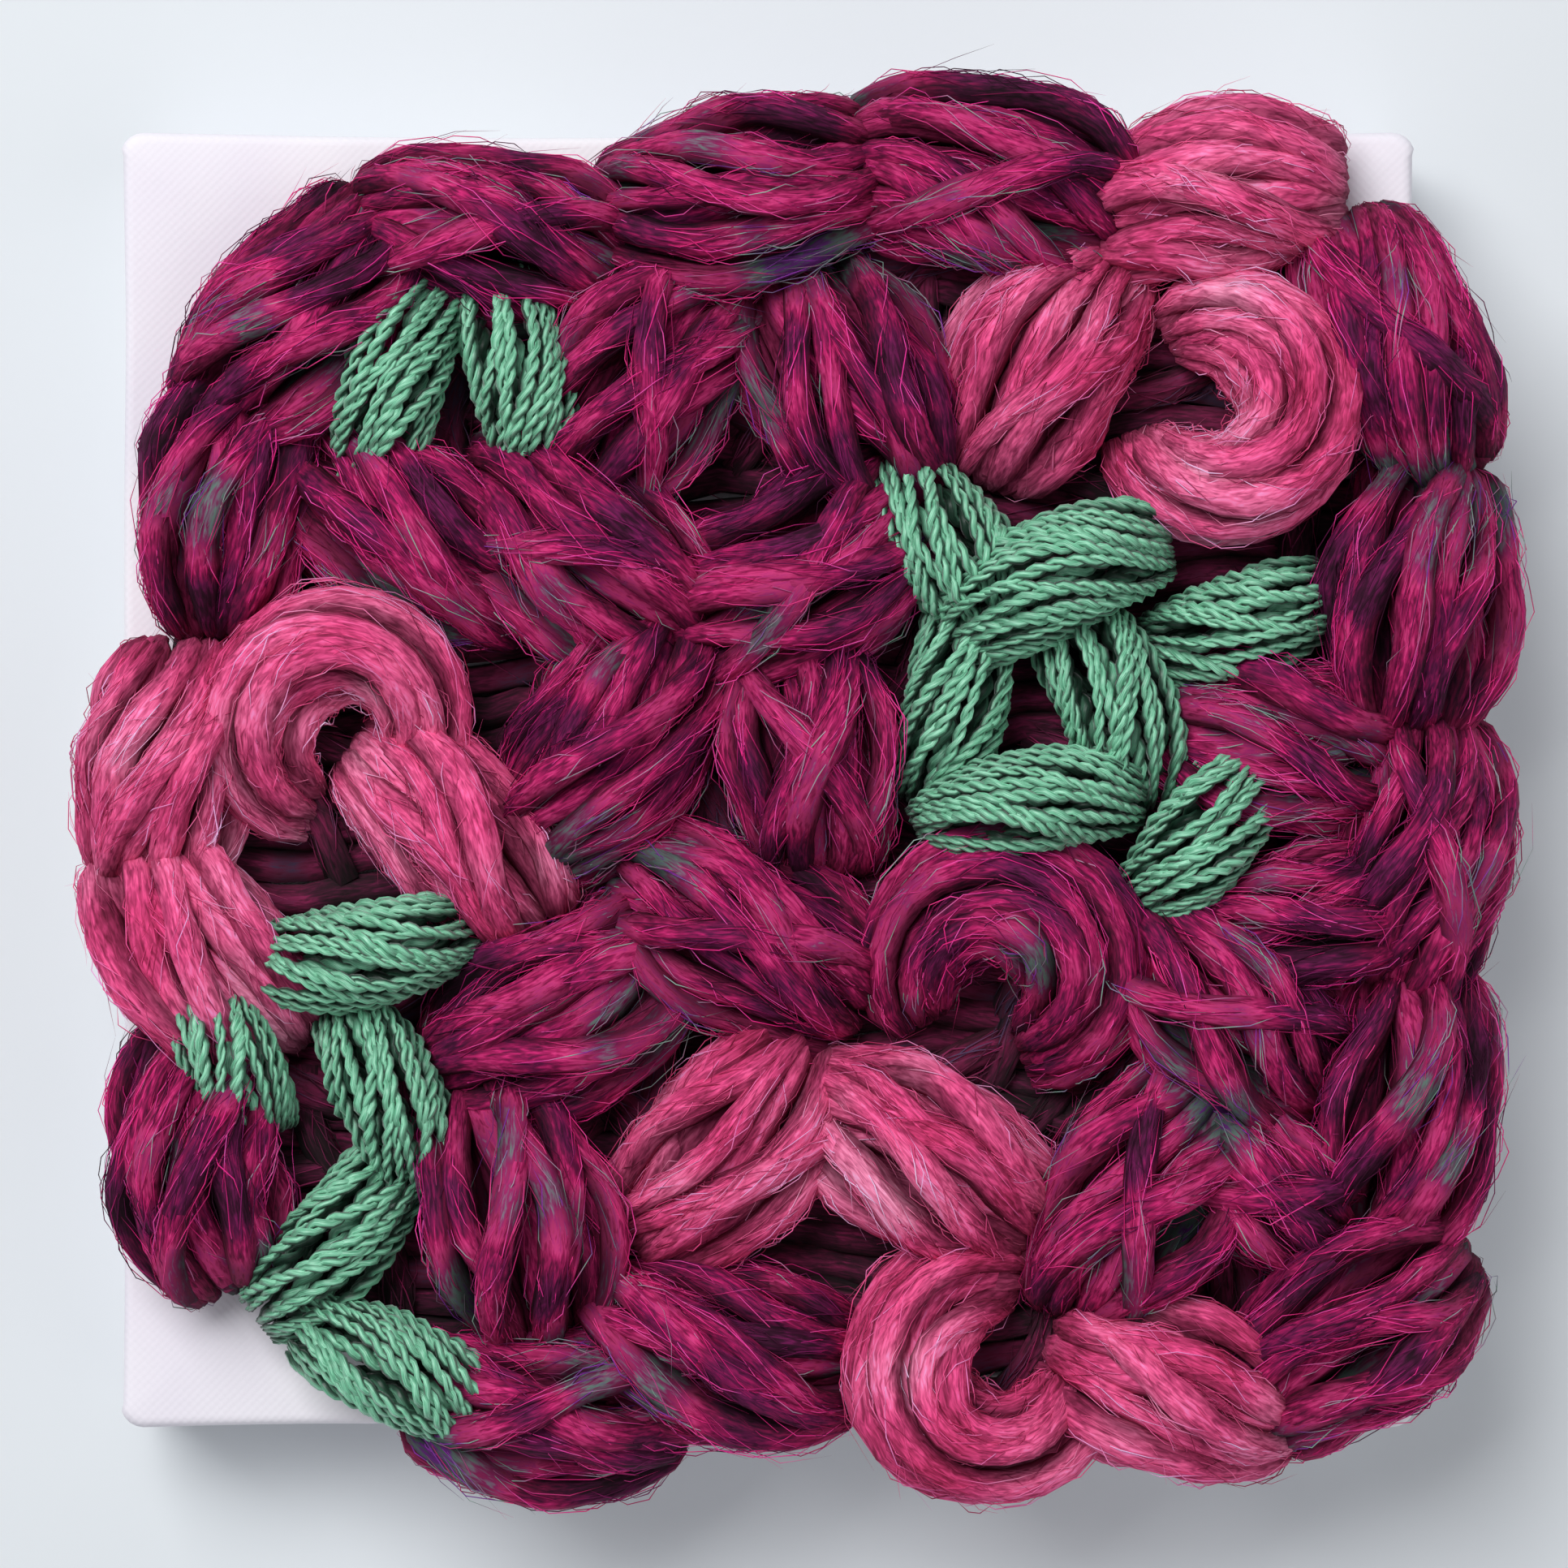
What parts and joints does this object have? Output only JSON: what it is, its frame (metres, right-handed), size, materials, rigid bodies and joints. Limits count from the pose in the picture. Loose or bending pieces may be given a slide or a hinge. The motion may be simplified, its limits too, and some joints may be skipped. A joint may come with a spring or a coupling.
{
  "type": "yarn hank picture on a stretched canvas frame",
  "caption": "Small square wall picture: thick hanks of berry, pink and green yarn stitched close together over the face of a white stretched canvas.",
  "frame": {"origin": "centre of the whole thing's bounding box, yarn included, on the plane of its back, which is the surface it lies on", "axes": "+X to the right and +Y up as the picture is seen from the front, +Z out of the picture towards the viewer"},
  "size_m": [0.1116, 0.11, 0.0307],
  "materials": {
    "primed_canvas": "matte white primed cotton canvas",
    "pine": "bare planed pine",
    "berry_ground": "fuzzy dark wine yarn",
    "berry_mohair": "fuzzy heathered berry yarn",
    "rose_wool": "soft fuzzy rose pink wool",
    "green_cotton": "glossy twisted green cotton"
  },
  "bodies": {
    "root": {"canvas": "primed_canvas", "bar_top": "pine", "bar_left": "pine", "bar_bottom": "pine", "bar_right": "pine", "ground": "berry_ground", "berry_hank_01": "berry_mohair", "berry_hank_02": "berry_mohair", "berry_hank_03": "berry_mohair", "berry_hank_04": "berry_mohair", "berry_hank_05": "berry_mohair", "berry_hank_06": "berry_mohair", "berry_hank_07": "berry_mohair", "berry_hank_08": "berry_mohair", "berry_hank_09": "berry_mohair", "berry_hank_10": "berry_mohair", "berry_hank_11": "berry_mohair", "berry_hank_12": "berry_mohair", "berry_hank_13": "berry_mohair", "berry_hank_14": "berry_mohair", "berry_hank_15": "berry_mohair", "berry_hank_16": "berry_mohair", "berry_hank_17": "berry_mohair", "berry_hank_18": "berry_mohair", "berry_hank_19": "berry_mohair", "berry_hank_20": "berry_mohair", "berry_hank_21": "berry_mohair", "berry_hank_22": "berry_mohair", "berry_hank_23": "berry_mohair", "berry_hank_24": "berry_mohair", "berry_hank_25": "berry_mohair", "berry_hank_26": "berry_mohair", "berry_hank_27": "berry_mohair", "berry_hank_28": "berry_mohair", "berry_hank_29": "berry_mohair", "rose_hank_01": "rose_wool", "rose_hank_02": "rose_wool", "rose_hank_03": "rose_wool", "rose_hank_04": "rose_wool", "rose_hank_05": "rose_wool", "rose_hank_06": "rose_wool", "rose_hank_07": "rose_wool", "rose_hank_08": "rose_wool", "rose_hank_09": "rose_wool", "rose_hank_10": "rose_wool", "rose_hank_11": "rose_wool", "green_hank_01": "green_cotton", "green_hank_02": "green_cotton", "green_hank_03": "green_cotton", "green_hank_04": "green_cotton", "green_hank_05": "green_cotton", "green_hank_06": "green_cotton", "green_hank_07": "green_cotton", "green_hank_08": "green_cotton", "green_hank_09": "green_cotton", "green_hank_10": "green_cotton", "green_hank_11": "green_cotton", "green_hank_12": "green_cotton", "green_hank_13": "green_cotton", "green_hank_14": "green_cotton"}
  },
  "joints": []
}
